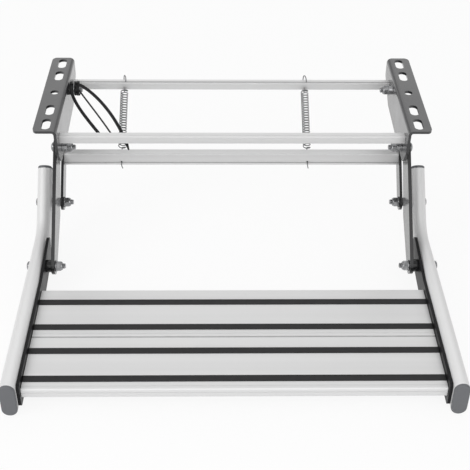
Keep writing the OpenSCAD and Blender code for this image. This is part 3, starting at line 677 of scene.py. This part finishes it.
# Rivets and plank screws
# Zinc-plated steel rivets fix the side angles to the tubes, and pan-head screws come up through the
# angles' feet into the planks.
ROUND_EDGE = (0.0005, 3)
eased("angle_rivets", "domed_rivets", "step", zinc_finish, ROUND_EDGE)
eased("plank_screws", "pan_head_screws", "step", zinc_finish, ROUND_EDGE)

# Cable ties
# Three black ties stay on the left rear pivot with their long tails uncut. Each is moulded in nylon: a
# head, and a strap with saw teeth that goes round the pivot and back through the head.
tie_finish = moulded_plastic("black_nylon", (0.012, 0.012, 0.013), 700.0, 0.22)
TIE_TOOTH, TOOTH_HIGH = 0.0012, 0.00022
TAIL_POINTS, TAIL_TAPER = 420, 0.009
SEEN_FROM = [0, 0.79, -0.61]
TOOTHED_WIDTH = 0.4
HEAD_DEEP, HEAD_OVER, HEAD_BLUNT = 0.0065, 0.0036, 0.28
# In mm beside the pivot: how far back the head sits, and how far above the loop the tail leaves it.
HEAD_BACK, TAIL_ABOVE = 1.25, 1.1


def by_left_pivot(inward, back, up):
    """A place beside the left rear pivot in mm: inward from the web, back and up from the pivot."""
    return np.array([-web_inside, *rear_pivot]) + np.array([inward, back, up]) * 0.001


def strap_outline(width, thick, count=5):
    """A flat strip with rounded edges as rows of (across, through): each edge is half an ellipse."""
    round_by = thick * 0.4
    turn = np.linspace(-math.pi / 2, math.pi / 2, count)
    edge = np.stack([np.cos(turn) * round_by, np.sin(turn) * thick / 2], 1)
    return np.concatenate([edge + [width / 2 - round_by, 0], -edge - [width / 2 - round_by, 0]])


def cubic(corners, t):
    """Points of a cubic curve at the shares t: its four corners weighted by the terms of ((1 - t) + t)
    cubed."""
    u = 1 - t
    ends = u ** 3 * corners[0] + t ** 3 * corners[3]
    return ends + 3 * u ** 2 * t * corners[1] + 3 * u * t * t * corners[2]


def tie_tail(name, corners, width, thick, taper):
    """A cubic curve through space with the strip carried along it, broad side up and to the front. The
    inner face carries a saw of teeth: height falls from 1 to 0 over each tooth. The last few millimetres
    narrow to the given share of the width."""
    path = cubic(corners, np.linspace(0, 1, TAIL_POINTS)[:, None])
    along = np.gradient(path, axis=0)
    gone = np.cumsum(np.linalg.norm(along, axis=1))
    along /= np.linalg.norm(along, axis=1, keepdims=True)
    across = np.cross(along, SEEN_FROM)
    across /= np.linalg.norm(across, axis=1, keepdims=True)
    through = np.cross(across, along)
    outline = strap_outline(width, thick)
    slim = taper + (1 - taper) * np.clip((gone[-1] - gone) / TAIL_TAPER, 0, 1)
    tooth = TOOTH_HIGH * (1 - (gone / TIE_TOOTH) % 1)
    inner = (outline[:, 1] < -thick * 0.3) & (np.abs(outline[:, 0]) < width * TOOTHED_WIDTH)
    wide = outline[None, :, :1] * slim[:, None, None]
    deep = (outline[None, :, 1] + tooth[:, None] * inner[None])[..., None]
    return closed_skin(name, path[:, None] + wide * across[:, None] + deep * through[:, None])


def tie_loop(name, inward, inner_radius, width, thick):
    """The strip carried round a circle about the pivot's axis."""
    turn = np.linspace(0, 2 * math.pi, 48, endpoint=False)
    outline = strap_outline(width, thick)
    radius = inner_radius + thick / 2 + outline[:, 1]
    middle = by_left_pivot(inward, 0, 0)
    grid = np.empty((len(turn), len(outline), 3))
    grid[..., 0] = middle[0] + outline[None, :, 0]
    grid[..., 1] = middle[1] + radius[None] * np.cos(turn)[:, None]
    grid[..., 2] = middle[2] + radius[None] * np.sin(turn)[:, None]
    return closed_skin(name, grid, round_rows=True)


def blunt(values):
    """Sines or cosines raised to a small power with their sign kept, which makes a ball into a block."""
    return np.sign(values) * np.abs(values) ** HEAD_BLUNT


def tie_head(name, inward, base, width, height):
    """A block with rounded corners: a ball whose sines and cosines are raised to a small power, stretched
    to the head's size."""
    turn = np.linspace(0, 2 * math.pi, 40, endpoint=False)
    rise = np.linspace(-math.pi / 2 + 0.02, math.pi / 2 - 0.02, 21)
    middle = by_left_pivot(inward, HEAD_BACK, 0) + [0, 0, base + height / 2]
    grid = np.empty((len(rise), len(turn), 3))
    grid[..., 0] = middle[0] + width / 2 * blunt(np.cos(rise))[:, None] * blunt(np.cos(turn))
    grid[..., 1] = middle[1] + HEAD_DEEP / 2 * blunt(np.cos(rise))[:, None] * blunt(np.sin(turn))
    grid[..., 2] = middle[2] + height / 2 * np.broadcast_to(blunt(np.sin(rise))[:, None], grid.shape[:2])
    return closed_skin(name, grid)


# The radii that a tie lies on, round a nut and round a spacer.
NUT_TOUCH, SPACER_TOUCH = 0.00774, 0.0067
# Each tie: how far inward it sits in mm, the radius it lies on, its width and thickness, the share of the
# width at its tip, and the control points of its tail in mm.
ties = (
    ("long", 13.2, NUT_TOUCH, 0.0048, 0.0013, 0.45, ((36, -18, 10), (76, -56, -10), (94, -98, -46))),
    ("flat", 3.0, SPACER_TOUCH, 0.0048, 0.0013, 0.45, ((4, -32, 4), (24, -52, -12), (54, -84, -32))),
    ("short", 9.0, NUT_TOUCH, 0.0025, 0.0011, 1.0, ((22, -26, 4), (46, -50, -12), (70, -82, -32))),
)
for tie, inward, touch, width, thick, taper, run in ties:
    leave = by_left_pivot(inward, -1, touch * 1000 + thick * 1000 + TAIL_ABOVE)
    corners = [leave] + [by_left_pivot(*point) for point in run]
    for part in (
        tie_tail(f"tie_{tie}_tail", corners, width, thick, taper),
        tie_loop(f"tie_{tie}_loop", inward, touch, width, thick),
        tie_head(f"tie_{tie}_head", inward, touch, width, thick + HEAD_OVER),
    ):
        fit(part, tie_finish, "frame", "cable_tie_" + tie)

# Studio
# A white floor that runs out of sight, a broad soft light above the step, smaller ones from the left, the
# front and behind, and an even white surround.
FLOOR_WHITE, FLOOR_GLOW, FLOOR_HALF = 0.86, 0.88, 6.0
SURROUND_ON_STEP, SURROUND_SEEN = 0.62, 1.0


def studio_white(name):
    """Matt white that the camera and the gloss of the metal see as white, apart from the step's shadow."""
    material, tree, surface = shader(name)
    surface.inputs["Base Color"].default_value = (FLOOR_WHITE, FLOOR_WHITE, FLOOR_WHITE, 1)
    surface.inputs["Roughness"].default_value = 0.9
    surface.inputs["Specular IOR Level"].default_value = 0.1
    glow = tree.nodes.new("ShaderNodeEmission")
    glow.inputs["Color"].default_value = (1, 1, 1, 1)
    rays = tree.nodes.new("ShaderNodeLightPath")
    seen = tree.nodes.new("ShaderNodeMath")
    seen.operation = "MAXIMUM"
    tree.links.new(rays.outputs["Is Camera Ray"], seen.inputs[0])
    tree.links.new(rays.outputs["Is Glossy Ray"], seen.inputs[1])
    share = tree.nodes.new("ShaderNodeMath")
    share.operation = "MULTIPLY"
    share.inputs[1].default_value = FLOOR_GLOW
    tree.links.new(seen.outputs[0], share.inputs[0])
    mix = tree.nodes.new("ShaderNodeMixShader")
    tree.links.new(share.outputs[0], mix.inputs["Fac"])
    tree.links.new(surface.outputs["BSDF"], mix.inputs[1])
    tree.links.new(glow.outputs["Emission"], mix.inputs[2])
    tree.links.new(mix.outputs["Shader"], tree.nodes["Material Output"].inputs["Surface"])
    return material


def floor():
    """A flat square about the step."""
    corner = FLOOR_HALF * np.array([[-1, -1, 0], [1, -1, 0], [1, 1, 0], [-1, 1, 0]])
    mesh = bpy.data.meshes.new("studio_floor")
    mesh.from_pydata(corner.tolist(), [], [[0, 1, 2, 3]])
    mesh.materials.append(studio_white("floor_white"))
    piece = bpy.data.objects.new("studio_floor", mesh)
    bpy.context.scene.collection.objects.link(piece)


def soft_light(name, place, turn, size, power):
    """A rectangular lamp: where it hangs, how it is turned in degrees, its two sides, and its watts."""
    data = bpy.data.lights.new(name, "AREA")
    data.shape = "RECTANGLE"
    data.size, data.size_y = size
    data.energy = power
    lamp = bpy.data.objects.new(name, data)
    lamp.location = place
    lamp.rotation_euler = tuple(math.radians(a) for a in turn)
    bpy.context.scene.collection.objects.link(lamp)


floor()
soft_light("overhead", (0.0, 0.1, 2.2), (0, 0, 0), (2.6, 2.6), 3.5)
soft_light("left_key", (-1.7, -1.0, 1.5), (55, 0, -55), (1.2, 1.2), 12.0)
soft_light("front_light", (0.2, -2.0, 2.0), (46, 0, 6), (2.4, 1.2), 14.0)
soft_light("low_fill", (0.4, -2.4, 0.8), (72, 0, 8), (2.4, 1.0), 8.0)
soft_light("back_light", (0.0, 2.7, 2.0), (-54, 0, 0), (3.0, 1.4), 10.0)

surround = bpy.data.worlds.new("white_surround")
bpy.context.scene.world = surround
surround.use_nodes = True
world_tree = surround.node_tree
world_rays = world_tree.nodes.new("ShaderNodeLightPath")
world_seen = world_tree.nodes.new("ShaderNodeMapRange")
world_seen.inputs["To Min"].default_value = SURROUND_ON_STEP
world_seen.inputs["To Max"].default_value = SURROUND_SEEN
world_tree.links.new(world_rays.outputs["Is Camera Ray"], world_seen.inputs["Value"])
world_back = world_tree.nodes["Background"]
world_back.inputs["Color"].default_value = (1, 1, 1, 1)
world_tree.links.new(world_seen.outputs["Result"], world_back.inputs["Strength"])
